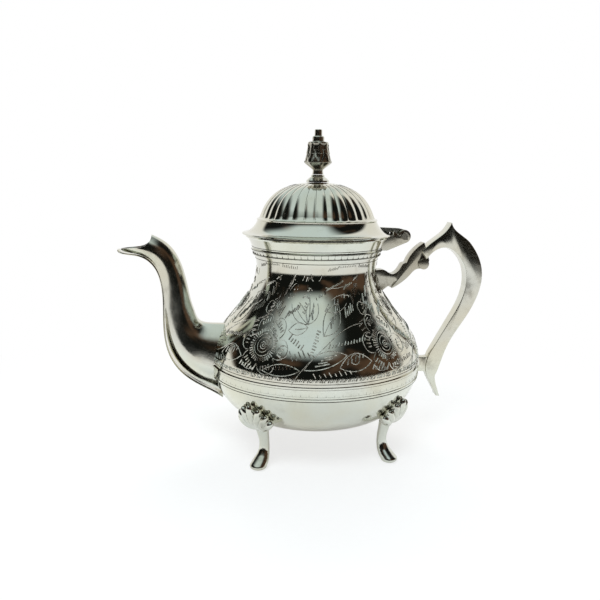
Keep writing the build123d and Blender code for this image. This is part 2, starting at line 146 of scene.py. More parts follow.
class Finish(Nodes):
    """One material and the nodes it is made of."""

    def __init__(self, name, metallic=1.0):
        self.material = bpy.data.materials.new(name)
        self.material.use_nodes = True
        super().__init__(self.material.node_tree)
        self.shader = self.tree.nodes["Principled BSDF"]
        self.shader.inputs["Metallic"].default_value = metallic

    def place(self, scale=(1.0, 1.0, 1.0)):
        """Object coordinates, stretched by a scale."""
        sockets = {"Vector": self.node("ShaderNodeTexCoord", out="Object"), "Scale": scale}
        return self.node("ShaderNodeMapping", {"vector_type": "POINT"}, sockets)

    def noise(self, scale, detail, rough=0.55, at=None):
        at = at or self.place()
        sockets = {"Vector": at, "Scale": scale, "Detail": detail, "Roughness": rough}
        return self.node("ShaderNodeTexNoise", None, sockets)

    def spots(self, scale, detail, edge=SPOT_EDGE):
        return self.band(self.noise(scale, detail), *edge)

    def bump(self, height, distance, strength):
        sockets = {"Height": height, "Distance": distance, "Strength": strength}
        return self.node("ShaderNodeBump", None, sockets)

    def finish(self, **sockets):
        for key, value in sockets.items():
            self.put(self.shader.inputs[key.replace("_", " ")], value)
        return self.material


# Colours, in linear light
SILVER = (0.67, 0.655, 0.56, 1.0)
SILVER_WARM = (0.61, 0.57, 0.44, 1.0)
SILVER_COOL = (0.64, 0.665, 0.63, 1.0)
TARNISH = (0.20, 0.17, 0.12, 1.0)
# Near-black of the hollows: tarnish there, with painted shade
HOLLOW_TARNISH_AND_SHADE = (0.035, 0.028, 0.022, 1.0)
CUT_DULL = (0.30, 0.28, 0.23, 1.0)
CUT_BRIGHT = (0.80, 0.79, 0.72, 1.0)
GROOVE_BLACK = (0.05, 0.045, 0.035, 1.0)
GROOVE_BROWN = (0.20, 0.19, 0.15, 1.0)
BRASS_DEEP = (0.62, 0.42, 0.15, 1.0)
BRASS_PALE = (0.78, 0.58, 0.26, 1.0)
PAPER_DEEP = (0.93, 0.93, 0.925, 1.0)
PAPER_PALE = (0.95, 0.95, 0.945, 1.0)
WHITE = (1.0, 1.0, 1.0, 1.0)

# The silver plate: sizes of its marks in waves per metre, and how much each one does
CLOUD_SCALE = 28.0
STAIN_SCALE = 75.0
STAIN_EDGE = (0.52, 0.74)
STAIN_DULLS = 0.12
WIPE_SCALE = 60.0
WIPE_STRETCH = (1.0, 1.0, 3.0)
WIPE_EDGE = (0.35, 0.8)
WIPE_DULLS = 0.035
SCRATCH_SCALE = 900.0
SCRATCH_STRETCH = (1.0, 1.0, 6.0)
SCRATCH_SHARE = 0.25
DENT_SCALE = 38.0
PLAIN_SHARE = 0.45
HOLLOW_EDGE = (0.44, 0.50)
BUMP_HEIGHT = 0.00005
BUMP_STRENGTH = 0.35

# Share of the floor's look that is plain white paper close to the pot, as seen straight
# and as seen in the metal, and how far from the pot it turns into white altogether
SHADOW_SHARE = 0.72
MIRRORED_SHADOW_SHARE = 0.3
SHADOW_EDGE = (0.12, 0.32)


def plated(name, tarnish, rough, hollow_tarnish_and_shade=0.0, shade=0.0):
    """Polished silver plate with cloudy tarnish, wipe marks and fine scratches; its hollows can
    be darkened with tarnish and painted shade.
    """
    f = Finish(name)
    stain = f.band(f.noise(STAIN_SCALE, 5.0, 0.65), *STAIN_EDGE)
    tone = f.mix(f.spots(CLOUD_SCALE, 4.0), SILVER_WARM, SILVER_COOL)
    tone = f.mix(PLAIN_SHARE, tone, SILVER)
    colour = f.mix(stain * tarnish + shade, tone, TARNISH)
    # Hollows and creases turn near-black: tarnish that sits there, and painted shade where shadow
    # falls in them
    if hollow_tarnish_and_shade:
        edges = f.node("ShaderNodeNewGeometry", out="Pointiness")
        hollow = 1.0 - f.band(edges, *HOLLOW_EDGE)
        colour = f.mix(hollow * hollow_tarnish_and_shade, colour, HOLLOW_TARNISH_AND_SHADE)
    scratch = f.noise(SCRATCH_SCALE, 2.0, 0.5, f.place(SCRATCH_STRETCH))
    wipe = f.band(f.noise(WIPE_SCALE, 3.0, 0.6, f.place(WIPE_STRETCH)), *WIPE_EDGE)
    dull = rough + stain * STAIN_DULLS + wipe * WIPE_DULLS
    height = scratch * SCRATCH_SHARE + f.noise(DENT_SCALE, 2.0, 0.4)
    relief = f.bump(height, BUMP_HEIGHT, BUMP_STRENGTH)
    return f.finish(Base_Color=colour, Roughness=dull, Normal=relief)


def cut_line():
    """The engraver's cut: bright where the tool turned, dark where dirt sits."""
    f = Finish("engraved_cut")
    spots = f.spots(420.0, 2.0, CUT_SPOT_EDGE)
    colour = f.mix(spots, CUT_DULL, CUT_BRIGHT)
    return f.finish(Base_Color=colour, Roughness=0.30 - spots * 0.12)


def ring_groove():
    """Dark line turned into the metal, with dirt of uneven depth."""
    f = Finish("turned_groove")
    spots = f.spots(160.0, 3.0)
    colour = f.mix(spots, GROOVE_BLACK, GROOVE_BROWN)
    return f.finish(Base_Color=colour, Roughness=0.5 - spots * 0.1)


def plain_brass():
    """Turned brass of the nut and washer, with lathe marks."""
    f = Finish("turned_brass")
    marks = f.noise(700.0, 2.0)
    colour = f.mix(f.band(marks, *SPOT_EDGE), BRASS_DEEP, BRASS_PALE)
    return f.finish(Base_Color=colour, Roughness=0.28 + marks * 0.15)


def floor_finish():
    """Plain white paper that keeps the pot's shadow near the pot."""
    f = Finish("pale_floor", metallic=0.0)
    grain = f.noise(300.0, 2.0)
    colour = f.mix(f.band(grain, *SPOT_EDGE), PAPER_DEEP, PAPER_PALE)
    f.finish(Base_Color=colour, Roughness=0.9 - grain * 0.05)
    reach = f.node("ShaderNodeVectorMath", {"operation": "LENGTH"}, {0: f.place()}, out="Value")
    far = f.band(reach, *SHADOW_EDGE)
    seen, mirrored = f.light_path("Is Camera Ray"), f.light_path("Is Glossy Ray")
    near = seen * SHADOW_SHARE + mirrored * MIRRORED_SHADOW_SHARE
    share = near * (1 - far) + (seen + mirrored) * far
    paper = f.node("ShaderNodeEmission", None, {"Color": WHITE})
    lit = Value(f, f.shader.outputs[0])
    mixed = f.node("ShaderNodeMixShader", None, {0: share, 1: lit, 2: paper})
    f.put(f.tree.nodes["Material Output"].inputs["Surface"], mixed)
    return f.material


def deselect():
    bpy.ops.object.select_all(action="DESELECT")


def only_active(obj):
    deselect()
    obj.select_set(True)
    bpy.context.view_layer.objects.active = obj


def add_object(name, data):
    """A new object in the scene round a mesh, a curve, a camera or a lamp."""
    obj = bpy.data.objects.new(name, data)
    bpy.context.scene.collection.objects.link(obj)
    return obj


def apply_modifiers(obj):
    only_active(obj)
    for modifier in list(obj.modifiers):
        bpy.ops.object.modifier_apply(modifier=modifier.name)


def settle(obj):
    """Puts the object's place into its mesh."""
    only_active(obj)
    bpy.ops.object.transform_apply(location=True, rotation=True, scale=True)


def shift_to_axis(obj):
    """Moves a piece made about the world's axis onto the pot's axis."""
    obj.location.x += AXIS_X
    settle(obj)


def smooth(obj, angle):
    only_active(obj)
    bpy.ops.object.shade_smooth_by_angle(angle=math.radians(angle))


def dress(obj, material):
    obj.data.materials.clear()
    obj.data.materials.append(material)


def pick(obj, test, kind="VERT"):
    """Selects the vertices or faces that pass a test, in edit mode."""
    bpy.ops.mesh.select_all(action="DESELECT")
    bm = bmesh.from_edit_mesh(obj.data)
    for part in bm.verts if kind == "VERT" else bm.faces:
        part.select = test(part)
    bm.select_mode = {kind}
    bm.select_flush_mode()
    bmesh.update_edit_mesh(obj.data)


def in_order(obj):
    """Sorts a mesh's points and faces by place, because an extrude's order differs
    from run to run and a bevel follows it."""
    points = obj.data.vertices
    order = sorted(range(len(points)), key=lambda point: tuple(points[point].co))
    rank = {point: new for new, point in enumerate(order)}
    faces = []
    for face in obj.data.polygons:
        corners = [rank[point] for point in face.vertices]
        first = corners.index(min(corners))
        faces.append(corners[first:] + corners[:first])
    mesh = bpy.data.meshes.new(obj.name)
    mesh.from_pydata([points[point].co for point in order], [], sorted(faces))
    obj.data = mesh


def lathe_rings(name, rings, sides, cap=True):
    """A ring of points drawn up through radius and height pairs, as on a lathe."""
    deselect()
    radius, height = rings[0]
    bpy.ops.mesh.primitive_circle_add(vertices=sides, radius=radius, location=(0, 0, height))
    obj = bpy.context.object
    obj.name = name
    settle(obj)
    bpy.ops.object.mode_set(mode="EDIT")
    bpy.ops.mesh.select_mode(type="VERT")
    bpy.ops.mesh.select_all(action="SELECT")
    for last, new in zip(rings, rings[1:]):
        rise = (0, 0, new[1] - last[1])
        bpy.ops.mesh.extrude_region_move(TRANSFORM_OT_translate={"value": rise})
        ratio = new[0] / last[0]
        bpy.ops.transform.resize(value=(ratio, ratio, 1), center_override=(0, 0, new[1]))
    if cap:
        bpy.ops.mesh.edge_face_add()
    bpy.ops.mesh.select_all(action="SELECT")
    bpy.ops.mesh.normals_make_consistent(inside=False)
    bpy.ops.object.mode_set(mode="OBJECT")
    return obj


def press_columns(obj, count, low, high, ratios):
    """Draws the upright rows of points of a turned piece in or out between two heights.

    There are count rows round the axis, and they take the ratios in turn.
    """
    only_active(obj)
    bpy.ops.object.mode_set(mode="EDIT")
    for step, ratio in enumerate(ratios):

        def in_column(vert, step=step):
            column = round(math.atan2(vert.co.y, vert.co.x) / math.tau * count)
            return column % len(ratios) == step and low < vert.co.z < high

        pick(obj, in_column)
        bpy.ops.transform.resize(value=(ratio, ratio, 1), center_override=(0, 0, 0))
    bpy.ops.object.mode_set(mode="OBJECT")


OUTLINE_STEPS = 60
LEVEL_SLACK = 1e-6


def outline_of(node):
    """Height and outer radius up a turned node, read from its vertices."""
    co = np.array([v.co for v in nodes[node].data.vertices])
    radius = np.hypot(co[:, 0] - AXIS_X, co[:, 1])
    height = co[:, 2]
    steps = np.linspace(height.min(), height.max(), OUTLINE_STEPS)
    found = []
    for low, high in zip(steps, steps[1:]):
        here = (height >= low - LEVEL_SLACK) & (height <= high + LEVEL_SLACK)
        if here.any():
            found.append((height[here][radius[here].argmax()], radius[here].max()))
    found.sort()
    return np.array(found)


BODY = outline_of("body_upper")
BELT = outline_of("belly_band")
COLLAR = outline_of("neck_band")


def skin_radius(height):
    """Outer radius of the pot at a height, over its bands."""
    best = np.interp(height, BODY[:, 0], BODY[:, 1])
    for strap in (BELT, COLLAR):
        if strap[0, 0] <= height <= strap[-1, 0]:
            best = max(best, np.interp(height, strap[:, 0], strap[:, 1]))
    return float(best)


def about_axis(radius, turn, height):
    return (AXIS_X + radius * math.cos(turn), radius * math.sin(turn), height)


def on_skin(height, turn, sink=0.0):
    return about_axis(skin_radius(height) - sink, turn, height)


# The fluted lid
FLUTES = 32
POINTS_PER_FLUTE = 10
FLUTE_DEPTH = 0.6 * MM
FLUTE_BASE_RADIUS = 30 * MM
FLUTE_LOW = MOUTH_Z + 10.0 * MM
FLUTE_HIGH = MOUTH_Z + 29.2 * MM
LID_THICK = 0.9 * MM

# Radius, and height over the mouth, up the outside of the lid in mm
BRIM = [(43.2, 0.5), (43.45, 0.8), (43.3, 1.15), (42.6, 1.35), (41.0, 1.6)]
COVE = [(39.4, 2.3), (37.8, 3.5), (36.5, 4.9), (35.5, 6.4), (34.9, 7.7)]
BEAD = [(34.7, 8.3), (34.95, 8.7), (34.9, 9.2), (34.2, 9.5), (33.6, 9.7)]
DOME = [
    (33.2, 10.3), (32.5, 12.0), (31.6, 14.2), (30.5, 16.4), (29.1, 18.6), (27.4, 20.8),
    (25.3, 22.9), (22.8, 24.8), (19.9, 26.4), (16.6, 27.7), (13.0, 28.7), (9.2, 29.4),
    (6.2, 29.75), (2.2, 29.9),
]
LID_RINGS = [(r * MM, MOUTH_Z + z * MM) for r, z in BRIM + COVE + BEAD + DOME]


def fluted_lid(material):
    """The lid's sheet, drawn up ring by ring, with its flutes pressed in."""
    count = FLUTES * POINTS_PER_FLUTE
    lid = lathe_rings("lid_sheet", LID_RINGS, count, cap=False)
    ratios = []
    for step in range(POINTS_PER_FLUTE):
        from_ridge = abs(step / POINTS_PER_FLUTE - 0.5) * 2
        ratios.append(1 - FLUTE_DEPTH * from_ridge ** 2 / FLUTE_BASE_RADIUS)
    press_columns(lid, count, FLUTE_LOW, FLUTE_HIGH, ratios)
    wall = lid.modifiers.new("wall", "SOLIDIFY")
    wall.thickness = LID_THICK
    wall.offset = -1
    apply_modifiers(lid)
    shift_to_axis(lid)
    smooth(lid, angle=50)
    dress(lid, material)
    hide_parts("lid_shell")
    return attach(lid, "lid")


# The carved finial
BUD_RIBS = 8
POINTS_PER_RIB = 8
RIB_RISE = 0.045
LEAF_LOW = FINIAL_TOP - 18.0 * MM
LEAF_HIGH = FINIAL_TOP - 8.4 * MM
RIB_LOW = LEAF_LOW - 3 * MM
RIB_HIGH = LEAF_HIGH + 1.5 * MM
LEAF_ROWS = 2
LEAF_BASE = 0.36
LEAF_POINT = 0.05
LEAF_RISE = 0.3 * MM
BUD_EDGE = 0.12 * MM

# Radius, and height against the finial's top, in mm
FINIAL_RINGS = [
    (3.2, -24.8), (3.0, -23.6), (2.9, -22.4), (3.4, -21.9), (4.9, -20.6), (7.1, -18.9),
    (7.5, -18.3), (7.35, -17.4), (6.9, -15.6), (6.3, -13.4), (5.8, -11.2), (5.5, -9.4),
    (5.6, -8.2), (5.75, -7.5), (5.5, -6.9), (3.5, -6.6), (3.4, -6.2), (3.35, -4.2),
    (2.9, -3.7), (2.15, -3.5), (2.1, -0.4), (1.8, 0.0),
]


def carved_finial(material):
    """Bud with two rows of pointed leaves between eight ribs."""
    sides = BUD_RIBS * POINTS_PER_RIB
    rings = [(r * MM, FINIAL_TOP + z * MM) for r, z in FINIAL_RINGS]
    bud = lathe_rings("finial_bud", rings, sides)
    waves = [math.cos(math.tau * step / POINTS_PER_RIB) for step in range(POINTS_PER_RIB)]
    press_columns(bud, sides, RIB_LOW, RIB_HIGH, [1 + RIB_RISE * wave for wave in waves])

    def on_leaf(face):
        centre = face.calc_center_median()
        if not LEAF_LOW < centre.z < LEAF_HIGH:
            return False
        row = (centre.z - LEAF_LOW) / (LEAF_HIGH - LEAF_LOW) * LEAF_ROWS
        turn = math.atan2(centre.y, centre.x) / math.tau * BUD_RIBS
        from_midrib = abs((turn + 0.5 * int(row)) % 1 - 0.5)
        return from_midrib < LEAF_BASE * (1 - row % 1) + LEAF_POINT

    bpy.ops.object.mode_set(mode="EDIT")
    pick(bud, on_leaf, "FACE")
    bpy.ops.mesh.extrude_region_shrink_fatten(TRANSFORM_OT_shrink_fatten={"value": LEAF_RISE})
    bpy.ops.object.mode_set(mode="OBJECT")
    in_order(bud)
    edge = bud.modifiers.new("edges", "BEVEL")
    edge.width = BUD_EDGE
    edge.segments = 2
    edge.limit_method = "ANGLE"
    apply_modifiers(bud)
    shift_to_axis(bud)
    smooth(bud, angle=35)
    dress(bud, material)
    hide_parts("finial")
    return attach(bud, "lid")


# The cast feet: one is modelled at azimuth 0 about the pot's axis, in mm and degrees
FOOT_TURNS = {
    "foot_front_right": -45.0,
    "foot_front_left": -135.0,
    "foot_rear_right": 45.0,
    "foot_rear_left": 135.0,
}
KNEE_ROOT = (50.6, 0, 23.6)
SHELL_LOBES = 7
SHELL_LEAN = 33.0
LOBE_SPREAD = 19.0
LOBE_DEEP = 3.9
LOBE_WIDE = 2.75
LOBE_REACH = 9.4
LOBE_SHORTENS = 0.75
LOBE_STANDS_OUT = 0.9
CORE_PLACE = (0.4, 0, 6.6)
CORE_SIZE = (3.7, 6.6, 7.6)

# Distance from the axis, height, half depth and half width down the leg to the toe
LEG = np.array([
    (50.2, 24.0, 3.6, 4.4), (49.0, 19.5, 3.1, 3.4), (48.1, 15.5, 2.9, 2.9),
    (47.9, 12.0, 2.9, 2.9), (48.3, 9.4, 3.1, 3.2), (49.4, 6.6, 3.6, 3.9),
    (51.2, 4.2, 4.3, 4.6), (53.4, 1.9, 4.8, 5.0),
])
LEG_LUMPS = 26
LEG_LUMP_HIGH = 2.4
CASTING_GRAIN = 0.45
CASTING_SOFTENS = 6


def ball(place, size, turn=(0, 0, 0), parts=(32, 20)):
    """One egg-shaped lump of the casting, with its half sizes in mm."""
    deselect()
    bpy.ops.mesh.primitive_uv_sphere_add(
        segments=parts[0], ring_count=parts[1], radius=1, location=place, rotation=turn
    )
    lump = bpy.context.object
    lump.scale = [part * MM for part in size]
    settle(lump)
    return lump


def join(lumps, name):
    deselect()
    for lump in lumps:
        lump.select_set(True)
    bpy.context.view_layer.objects.active = lumps[0]
    bpy.ops.object.join()
    lumps[0].name = name
    return lumps[0]


def foot_pattern():
    """One foot: the shell on the knee, the leg and the flat-bottomed toe."""
    root = Vector(KNEE_ROOT) * MM
    lean = Matrix.Rotation(math.radians(SHELL_LEAN), 3, "Y")
    lumps = []
    for lobe in range(SHELL_LOBES):
        offset = lobe - (SHELL_LOBES - 1) / 2
        fan = lean @ Matrix.Rotation(math.radians(offset * LOBE_SPREAD), 3, "X")
        reach = LOBE_REACH - LOBE_SHORTENS * abs(offset)
        middle = root + fan @ Vector((0, 0, 1)) * (reach * MM)
        middle += Vector((LOBE_STANDS_OUT * MM, 0, 0))
        lumps.append(ball(middle, (LOBE_DEEP, LOBE_WIDE, reach), fan.to_euler()))
    lumps.append(ball(root + lean @ Vector(CORE_PLACE) * MM, CORE_SIZE, lean.to_euler()))
    for at in np.linspace(0, len(LEG) - 1, LEG_LUMPS):
        x, z, deep, wide = (np.interp(at, range(len(LEG)), part) for part in LEG.T)
        place = Vector((x, 0, z)) * MM
        lumps.append(ball(place, (deep, wide, LEG_LUMP_HIGH), parts=(24, 14)))
    foot = join(lumps, "foot_pattern")
    grain = foot.modifiers.new("casting", "REMESH")
    grain.mode = "VOXEL"
    grain.voxel_size = CASTING_GRAIN * MM
    soft = foot.modifiers.new("soften", "SMOOTH")
    soft.factor = 0.5
    soft.iterations = CASTING_SOFTENS
    apply_modifiers(foot)
    bpy.ops.object.mode_set(mode="EDIT")
    bpy.ops.mesh.select_all(action="SELECT")
    bpy.ops.mesh.bisect(
        plane_co=(0, 0, 0), plane_no=(0, 0, 1), clear_inner=True, use_fill=True, threshold=1e-6
    )
    bpy.ops.object.mode_set(mode="OBJECT")
    smooth(foot, angle=60)
    return foot


def cast_feet(material):
    """Four copies of the foot, each turned to its own corner of the bowl."""
    pattern = foot_pattern()
    for name, azimuth in FOOT_TURNS.items():
        foot = add_object(name + "_casting", pattern.data.copy())
        foot.rotation_euler.z = math.radians(azimuth)
        settle(foot)
        shift_to_axis(foot)
        dress(foot, material)
        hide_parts(name)
        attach(foot, "pot")
    bpy.data.objects.remove(pattern)


# The castings with eased edges
WELD = 0.00002
FLAT_ANGLE = 1.5
EDGE_ANGLE = 35.0


def eased_copy(node, body, material, width, segments=3):
    """A cast piece with its sharp edges eased, made from a copy of its solid."""
    piece = add_object(node + "_eased", nodes[node].data.copy())
    only_active(piece)
    bpy.ops.object.mode_set(mode="EDIT")
    bpy.ops.mesh.select_all(action="SELECT")
    bpy.ops.mesh.remove_doubles(threshold=WELD)
    bpy.ops.mesh.dissolve_limited(angle_limit=math.radians(FLAT_ANGLE))
    bpy.ops.object.mode_set(mode="OBJECT")
    edge = piece.modifiers.new("edges", "BEVEL")
    edge.width = width
    edge.segments = segments
    edge.limit_method = "ANGLE"
    edge.angle_limit = math.radians(EDGE_ANGLE)
    apply_modifiers(piece)
    smooth(piece, angle=50)
    dress(piece, material)
    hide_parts(node)
    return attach(piece, body)


# The engraving is drawn flat as strokes in mm, across and up, and wrapped round the shell
REPEATS = 5
FIRST_REPEAT = -93.2
FLAT_RADIUS = 58.0
HALF_REPEAT = math.pi * FLAT_RADIUS / REPEATS
LINE_SINK = 0.05 * MM

# Radius of each kind of cut, in mm
LINE_RADIUS = 0.25
HATCH_RADIUS = 0.42
NECK_CUT_RADIUS = 0.16
FLUTE_LINE_RADIUS = 0.13
RING_RADIUS = 0.22
TICK_RADIUS = 0.17

# The flower head: a swirl, two rings with their steps, a fringe of ticks, and petals with
# veins, with headings in degrees
DAISY_Z = 72.8
SWIRL_STEPS = 28
SWIRL_GROWS = 0.09
SWIRL_TURNS = 29
HEAD_RINGS = [(3.6, 22), (5.4, 26)]
FRINGE = (6.2, 8.6)
FRINGE_TICKS = 40
PETAL_HEADINGS = range(-8, 352, 60)
PETAL_REACH = 10.2
PETAL_RADIUS = 4.9
PETAL_OPENING = 112
VEINS = (10.4, 12.8)
VEIN_START = -14
VEIN_END = 18
VEIN_COUNT = 4

# The zigzag over the belly's band: height and lean of its two rows of cuts
ZIGZAGS = 36
ZIGZAG_LENGTH = 2.3
ZIGZAG_ROWS = [(56.2, 52), (57.9, -52)]

# Patches of short cuts over one repeat, each as first and last foot of its cuts, their
# number, their length and their heading in degrees
SHELL_PATCHES = [
    ((-28, 86), (-20, 90.5), 5, 4.2, 60),
    ((-8.6, 86), (-8, 92), 3, 3.0, 100),
    ((3.4, 82), (9.6, 90), 5, 4.6, 84),
    ((8, 93), (17, 96), 4, 2.8, 70),
    ((-6.5, 64.4), (-2, 68.6), 4, 7.4, 10),
    ((10, 64.8), (19, 67.6), 5, 3.2, 70),
    ((-9.5, 70), (-5.5, 81), 9, 2.5, -20),
    ((0.8, 73), (23, 75.4), 13, 2.2, 62),
    ((-18, 66.6), (-9, 68.2), 5, 5.2, 118),
    ((-22, 76.4), (-14.5, 72), 6, 3.0, 58),
    ((-30, 61), (-17, 62.6), 8, 2.6, 96),
    ((24, 61.5), (33, 59.8), 6, 2.6, 60),
    ((0, 99.4), (14, 103.4), 9, 4.6, 22),
    ((-34, 96), (-27, 104.6), 7, 6.2, 62),
    ((-39, 92), (-33, 86.6), 6, 6.0, 66),
    ((15, 86.5), (22, 89.5), 5, 5.0, 78),
    ((24, 93), (31, 99.5), 7, 5.0, 100),
    ((-17.5, 96.2), (-13, 101), 5, 2.4, 16),
    ((-14.5, 88.6), (-12.4, 96), 6, 2.0, 150),
    ((-3.5, 96.5), (1.5, 98), 4, 2.4, 108),
    ((-33, 76), (-30, 84), 5, 4.0, 150),
    ((-15.6, 104), (-10, 107), 4, 3.4, 70),
    ((26, 76), (22, 82), 4, 4.2, 20),
    ((-6, 58.6), (12, 60.2), 8, 2.8, 118),
    ((18, 100.5), (30, 104.8), 7, 3.6, 40),
    ((-44, 84), (-41, 94), 6, 3.4, 30),
]

# The same for the small groups of cuts under the neck's lines
NECK_PATCHES = [
    ((-38, 111.8), (-24, 111.0), 9, 1.9, 74),
    ((4, 110.2), (12, 111.2), 6, 2.6, 46),
    ((15, 112.0), (31, 112.4), 10, 1.3, 118),
]

# Heights of the turned lines, and each milled band's heights and count of ticks, in mm
RING_HEIGHTS = (120.6, 119.0, 116.4, 113.9, 55.1, 52.2, 51.2, 48.4, 45.6)
RING_STEPS = 160
BELLY_TICKS = (48.5, 51.1, 88)
NECK_TICKS = (116.6, 118.8, 64)


def polar(x, z, reach, heading):
    angle = math.radians(heading)
    return (x + reach * math.cos(angle), z + reach * math.sin(angle))


def arc(x, z, radius, start, end, squash=1.0, steps=14):
    """Points along part of a circle, with angles in degrees."""
    points = []
    for step in range(steps + 1):
        px, pz = polar(0, 0, radius, start + (end - start) * step / steps)
        points.append((x + px, z + squash * pz))
    return points


def bow(first, last, rise, steps=8):
    """A bowed stroke between two points, arched to its left by a rise."""
    (x0, z0), (x1, z1) = first, last
    across = (-(z1 - z0), x1 - x0)
    size = math.hypot(*across)
    points = []
    for step in range(steps + 1):
        share = step / steps
        lift = 4 * rise * share * (1 - share)
        x = x0 + (x1 - x0) * share + across[0] / size * lift
        z = z0 + (z1 - z0) * share + across[1] / size * lift
        points.append((x, z))
    return points


def pod(first, last, left, right):
    """A pointed shape between two bowed strokes."""
    return [bow(first, last, left), bow(first, last, right)]


def leaf(base, tip, width):
    """Outline of a pointed leaf with its midrib."""
    middle = (base[0] * 0.35 + tip[0] * 0.65, base[1] * 0.35 + tip[1] * 0.65)
    return pod(base, tip, width, -width) + [bow(base, middle, width * 0.12)]


def rows(first, last, count, length, heading):
    """Parallel strokes of uneven length, set out along a line between two points."""
    strokes = []
    for step in range(count):
        share = step / (count - 1)
        x = first[0] + (last[0] - first[0]) * share
        z = first[1] + (last[1] - first[1]) * share
        reach = length * (0.8 + 0.2 * math.cos(2.4 * step))
        strokes.append([(x, z), polar(x, z, reach, heading)])
    return strokes


def patches(table):
    return [stroke for patch in table for stroke in rows(*patch)]


def rays(x, z, low, high, start, end, count):
    """Strokes that stand outwards round a centre, each second one shorter."""
    strokes = []
    for step in range(count):
        heading = start + (end - start) * step / count
        tip = high - 0.5 * (step % 2)
        strokes.append([polar(x, z, low, heading), polar(x, z, tip, heading)])
    return strokes


def daisy_lines(x, z):
    """Swirl, rings and round petals of a flower head."""
    turns = range(SWIRL_STEPS)
    lines = [[polar(x, z, SWIRL_GROWS * step, SWIRL_TURNS * step) for step in turns]]
    lines += [arc(x, z, radius, 0, 360, steps=steps) for radius, steps in HEAD_RINGS]
    for heading in PETAL_HEADINGS:
        px, pz = polar(x, z, PETAL_REACH, heading)
        start, end = heading - PETAL_OPENING, heading + PETAL_OPENING
        lines.append(arc(px, pz, PETAL_RADIUS, start, end))
    return lines


def daisy_hatch(x, z):
    """Fringe of ticks round the head and veins in each petal."""
    strokes = rays(x, z, *FRINGE, 0, 360, FRINGE_TICKS)
    for heading in PETAL_HEADINGS:
        start, end = heading + VEIN_START, heading + VEIN_END
        strokes += rays(x, z, *VEINS, start, end, VEIN_COUNT)
    return strokes


def sector_lines():
    """Outlines over one repeat, with half a flower at each end."""
    lines = daisy_lines(HALF_REPEAT, DAISY_Z)
    lines.append(bow((-18, 54.6), (-8, 67.6), 0.8))
    lines.append(bow((-8, 67.6), (4, 77.2), 0.4))
    lines.append(bow((4, 77.2), (25, 83.4), 1.6))
    lines += leaf((-11.4, 83.6), (-26, 94.8), 3.6)
    lines += leaf((-11.4, 83.6), (-6.5, 96.5), 4.4)
    lines += leaf((-11.4, 82.4), (-23.4, 80.6), 2.8)
    lines += leaf((-1.7, 78.4), (11.3, 93.4), 5.2)
    lines += leaf((0, 90), (22, 97), 3.6)
    lines += leaf((-30, 95), (-22, 104), 2.6)
    lines += pod((-12, 62.4), (10.5, 69.4), 5.4, -2.2)
    lines += pod((6, 63.6), (24, 65.6), 5.6, -3.2)
    lines += pod((-34, 60.5), (-14, 62), 3.4, -2.6)
    lines.append(bow((24, 84), (38, 98), -3.2))
    lines += [arc(14.6, 67.2, 2.4, 0, 360), arc(-24, 70.5, 3.0, 40, 330)]
    lines += [arc(-21.9, 109.5, 5.0, 195, 345, 1.15), arc(-6.5, 110, 5.0, 195, 345, 1.15)]
    lines.append(bow((1.6, 101.6), (34, 107.4), -2.4, 12))
    lines.append(bow((-36, 90), (-40, 106), 2.6))
    lines.append(bow((-11.5, 84), (-14, 103), -1.6))
    lines += [arc(-11.4, 99.6, 1.6, -60, 300), arc(30, 90.5, 3.2, 20, 320)]
    return lines


def sector_hatch():
    """Broad short cuts over one repeat, with the zigzag under them."""
    cuts = daisy_hatch(HALF_REPEAT, DAISY_Z) + patches(SHELL_PATCHES)
    end = HALF_REPEAT - 2 * HALF_REPEAT / ZIGZAGS
    for z, lean in ZIGZAG_ROWS:
        cuts += rows((-HALF_REPEAT, z), (end, z), ZIGZAGS, ZIGZAG_LENGTH, lean)
    return cuts


def wrapped(strokes):
    """Strokes laid on the shell at each repeat, as lists of points."""
    curves = []
    for repeat in range(REPEATS):
        middle = math.radians(FIRST_REPEAT) + math.tau * repeat / REPEATS
        for stroke in strokes:
            curves.append([on_skin(z * MM, middle + x / FLAT_RADIUS) for x, z in stroke])
    return curves


def flute_grooves():
    """A fine line down the groove between each two flutes."""
    pressed = 1 - FLUTE_DEPTH / FLUTE_BASE_RADIUS
    rings = [(r * pressed, z) for r, z in LID_RINGS if FLUTE_LOW < z < FLUTE_HIGH]
    turns = [math.tau * flute / FLUTES for flute in range(FLUTES)]
    return [[about_axis(r, turn, z) for r, z in rings] for turn in turns]


def turned_ring(height):
    """A closed line round the pot at a height in mm."""
    turns = [math.tau * step / RING_STEPS for step in range(RING_STEPS + 1)]
    return [on_skin(height * MM, turn, LINE_SINK) for turn in turns]


def band_ticks(low, high, count):
    """Upright cuts between two heights in mm, evenly round the pot."""
    heights = [(low + (high - low) * share) * MM for share in (0.0, 0.5, 1.0)]
    turns = [math.tau * step / count for step in range(count)]
    return [[on_skin(height, turn, LINE_SINK) for height in heights] for turn in turns]


def cut_strokes(name, curves, radius, material, body="pot"):
    """One mesh of fine cuts that follow lists of points."""
    data = bpy.data.curves.new(name, "CURVE")
    data.dimensions = "3D"
    data.bevel_depth = radius * MM
    data.bevel_resolution = 0
    data.use_fill_caps = True
    for points in curves:
        spline = data.splines.new("POLY")
        spline.points.add(len(points) - 1)
        for place, point in zip(spline.points, points):
            place.co = (*point, 1.0)
    only_active(add_object(name, data))
    bpy.ops.object.convert(target="MESH")
    piece = bpy.context.object
    dress(piece, material)
    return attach(piece, body)


